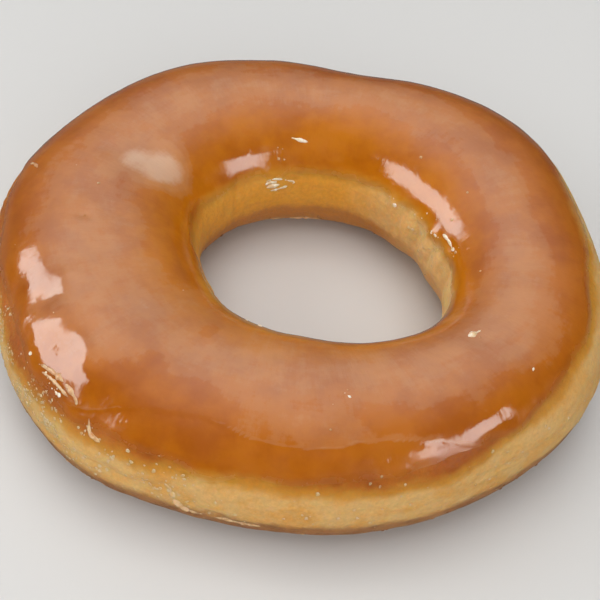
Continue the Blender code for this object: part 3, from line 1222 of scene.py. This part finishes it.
frost_chance = FROST_FRONT_LEFT[0] * near(around, *FROST_FRONT_LEFT[1:])
frost_chance = frost_chance + FROST_FRONT_RIGHT[0] * near(around, *FROST_FRONT_RIGHT[1:]) + FROST_ELSEWHERE
frost_chance = frost_chance * near(about, *FROST_BAND)
frost_chance += FROST_IN_HOLE * near(around, *FROST_HOLE_AROUND) * near(about, *FROST_HOLE_ABOUT)
frost_chance = frost_chance * smooth_step(rough(skin, FROST_PATCH_SIZE, 43), *FROST_PATCH_STEP)
frost = scattered("sugar_frost", dough, frost_chance, 31, {
    "Density": FROST_DENSITY, "Radius": FROST_RADIUS, "Least": 0.4, "Flatness": 0.30, "Raggedness": 1.2,
    "Material": thick_sugar,
})
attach(frost, "root")


# The crumbs: specks of browned crust, fried dry, that cling to the lower crust and the foot of the
# hole.

CRUMB_CHANCE = 0.05
CRUMB_RADIUS = 0.00034
CRUMB_DENSITY = 4000000.0
CRUMB_FOOT = (0.0008, 0.0020)
CRUMB_TOP = (0.0055, 0.0085)
CRUMB_PATCH_SIZE = 0.006
CRUMB_PATCH_STEP = (-0.1, 0.4)
CRUMB_SHADES = (0.0030, 2.0, 0.5)
CRUMB_SHADE_STEP = (0.35, 0.65)
DARK_CRUMB = (0.22, 0.085, 0.028, 1)
LIGHT_CRUMB = (0.52, 0.27, 0.11, 1)
CRUMB_GRAIN = (0.0004, 3.0, 0.6)
CRUMB_ROUGHNESS = (0.3, 0.7, 0.5, 0.8)
CRUMB_BUMP = (0.6, 0.0001)


def make_crumb_finish():
    """Dry fried crumbs: matt, and each a little lighter or darker."""
    material, tree, shader = new_material("fried_crumbs")
    place = object_place(tree)
    shade = eased(tree, patches(tree, place, *CRUMB_SHADES), *CRUMB_SHADE_STEP)
    tree.links.new(blended(tree, shade, DARK_CRUMB, LIGHT_CRUMB), shader.inputs["Base Color"])
    grain = patches(tree, place, *CRUMB_GRAIN)
    tree.links.new(eased(tree, grain, *CRUMB_ROUGHNESS), shader.inputs["Roughness"])
    give_bump(tree, shader, grain, *CRUMB_BUMP)
    return material


crumb_chance = CRUMB_CHANCE * smooth_step(height, *CRUMB_FOOT) * (1 - smooth_step(height, *CRUMB_TOP))
crumb_chance *= smooth_step(rough(skin, CRUMB_PATCH_SIZE, 41), *CRUMB_PATCH_STEP)
crumbs = scattered("crust_crumbs", dough, crumb_chance, 23, {
    "Density": CRUMB_DENSITY, "Radius": CRUMB_RADIUS, "Least": 0.5, "Flatness": 0.6, "Raggedness": 0.9,
    "Material": make_crumb_finish(),
})
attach(crumbs, "root")


# The setting: a plain pale floor, soft fills that light the ring without showing in its gloss, and two
# window-shaped cards and a dim glow behind the ring that show in its gloss alone.

FLOOR_SIZE = 3.0
FLOOR_STEPS = 8
FLOOR_COLOUR = (0.66, 0.66, 0.655, 1)
FLOOR_ROUGHNESS = 0.55

bpy.ops.mesh.primitive_grid_add(x_subdivisions=FLOOR_STEPS, y_subdivisions=FLOOR_STEPS, size=FLOOR_SIZE)
floor = bpy.context.object
floor.name = "floor"
floor_material, _, floor_shader = new_material("pale_floor")
set_values(floor_shader, {"Base Color": FLOOR_COLOUR, "Roughness": FLOOR_ROUGHNESS})
floor.data.materials.append(floor_material)
floor.visible_glossy = False

RING_MIDDLE = Vector((0, 0, 0.012))
CARD_DISTANCE = 1.1
CARD_RADIANCE = 3.8
CARD_COLOUR = (0.97, 1.0, 1.0)
FILL_DISTANCE = 1.3
FILL_COLOUR = (1.0, 0.99, 0.975)

# Each fill: its name, its angle around and height angle, its width and height in metres, its radiance
FILLS = (
    ("left_fill", 186, 30, 1.2, 0.65, 2.2),
    ("front_fill", -78, 33, 1.5, 1.1, 1.9),
    ("top_fill", -90, 88, 1.3, 1.3, 2.1),
    ("back_fill", 105, 52, 1.4, 1.1, 1.0),
)


def direction(azimuth, elevation):
    """A unit vector by its angle from +X towards +Y and its height above the horizon."""
    turn, rise = math.radians(azimuth), math.radians(elevation)
    return Vector((math.cos(turn) * math.cos(rise), math.sin(turn) * math.cos(rise), math.sin(rise)))


def new_lamp(name, azimuth, elevation, distance, width, tall, radiance, colour):
    """A rectangular lamp that faces the ring. Its power gives the radiance at its face."""
    lamp = bpy.data.lights.new(name, "AREA")
    lamp.shape = "RECTANGLE"
    lamp.size, lamp.size_y = width, tall
    lamp.energy = radiance * math.pi * width * tall
    lamp.color = colour
    holder = bpy.data.objects.new(name, lamp)
    bpy.context.scene.collection.objects.link(holder)
    way = direction(azimuth, elevation)
    holder.location = RING_MIDDLE + way * distance
    holder.rotation_euler = way.to_track_quat("Z", "Y").to_euler()
    return holder


def new_card(name, azimuths, elevations):
    """A bright card seen only in reflections, spanning two angles each way."""
    azimuth, elevation = sum(azimuths) / 2, sum(elevations) / 2
    width = 2 * CARD_DISTANCE * math.tan(math.radians(azimuths[1] - azimuths[0]) / 2)
    tall = 2 * CARD_DISTANCE * math.tan(math.radians(elevations[1] - elevations[0]) / 2)
    width *= math.cos(math.radians(elevation))
    card = new_lamp(name, azimuth, elevation, CARD_DISTANCE, width, tall, CARD_RADIANCE, CARD_COLOUR)
    card.visible_diffuse = False
    return card


new_card("left_window", (158, 220), (10, 38))
new_card("front_window", (-55, -21), (12, 37))
for name, azimuth, elevation, width, tall, radiance in FILLS:
    fill = new_lamp(name, azimuth, elevation, FILL_DISTANCE, width, tall, radiance, FILL_COLOUR)
    fill.visible_glossy = False

# The dim room that the gloss reflects: a glow behind the ring, and a fainter light from the floor up
GLOW_DIRECTION = (112, 58)
GLOW_WIDTH = math.radians(40)
GLOW_STRENGTH = 1.05
ROOM_STEP = (0.0, -0.3, 0.03, 0.16)
ROOM_COLOUR = (1.0, 1.0, 0.99, 1)
BACKDROP_STRENGTH = 0.75

world = bpy.data.worlds.new("soft_room")
bpy.context.scene.world = world
world.use_nodes = True
sky = world.node_tree
background = sky.nodes["Background"]
looking = put(sky, "ShaderNodeTexCoord").outputs["Generated"]
towards = {0: looking, 1: direction(*GLOW_DIRECTION)}
facing = put(sky, "ShaderNodeVectorMath", towards, operation="DOT_PRODUCT").outputs["Value"]
angle = maths(sky, "ARCCOSINE", facing)
fall = maths(sky, "POWER", maths(sky, "DIVIDE", angle, GLOW_WIDTH), 2.0)
glow = maths(sky, "EXPONENT", maths(sky, "MULTIPLY", fall, -1.0))
downward = put(sky, "ShaderNodeSeparateXYZ", {0: looking}).outputs["Z"]
bright = maths(sky, "MULTIPLY_ADD", glow, GLOW_STRENGTH, eased(sky, downward, *ROOM_STEP))
seen = put(sky, "ShaderNodeLightPath").outputs["Is Camera Ray"]
backdrop = put(sky, "ShaderNodeMix", {0: seen, 2: bright, 3: BACKDROP_STRENGTH}, data_type="FLOAT").outputs[0]
sky.links.new(backdrop, background.inputs["Strength"])
set_values(background, {"Color": ROOM_COLOUR})
world.cycles_visibility.diffuse = False

# The camera stands in front of the ring and looks down on it at about 50 degrees
CAMERA_ELEVATION = math.radians(50.27)
CAMERA_ROLL = math.radians(5.32)
CAMERA_DISTANCE = 0.265
CAMERA_TARGET = Vector((0.00051, -0.00509, 0.012))
CAMERA_LENS = 96.2
CAMERA_SENSOR = 36.0
CAMERA_NEAREST = 0.01

camera_data = bpy.data.cameras.new("camera")
camera_data.sensor_width = CAMERA_SENSOR
camera_data.lens = CAMERA_LENS
camera_data.clip_start = CAMERA_NEAREST
camera = bpy.data.objects.new("camera", camera_data)
bpy.context.scene.collection.objects.link(camera)
back = Vector((0, -math.cos(CAMERA_ELEVATION), math.sin(CAMERA_ELEVATION)))
camera.location = CAMERA_TARGET + back * CAMERA_DISTANCE
level = back.to_track_quat("Z", "Y").to_matrix()
turned = level @ Matrix.Rotation(CAMERA_ROLL, 3, "Z")
camera.rotation_euler = turned.to_euler()
bpy.context.scene.camera = camera
bpy.context.scene.view_settings.view_transform = "Standard"
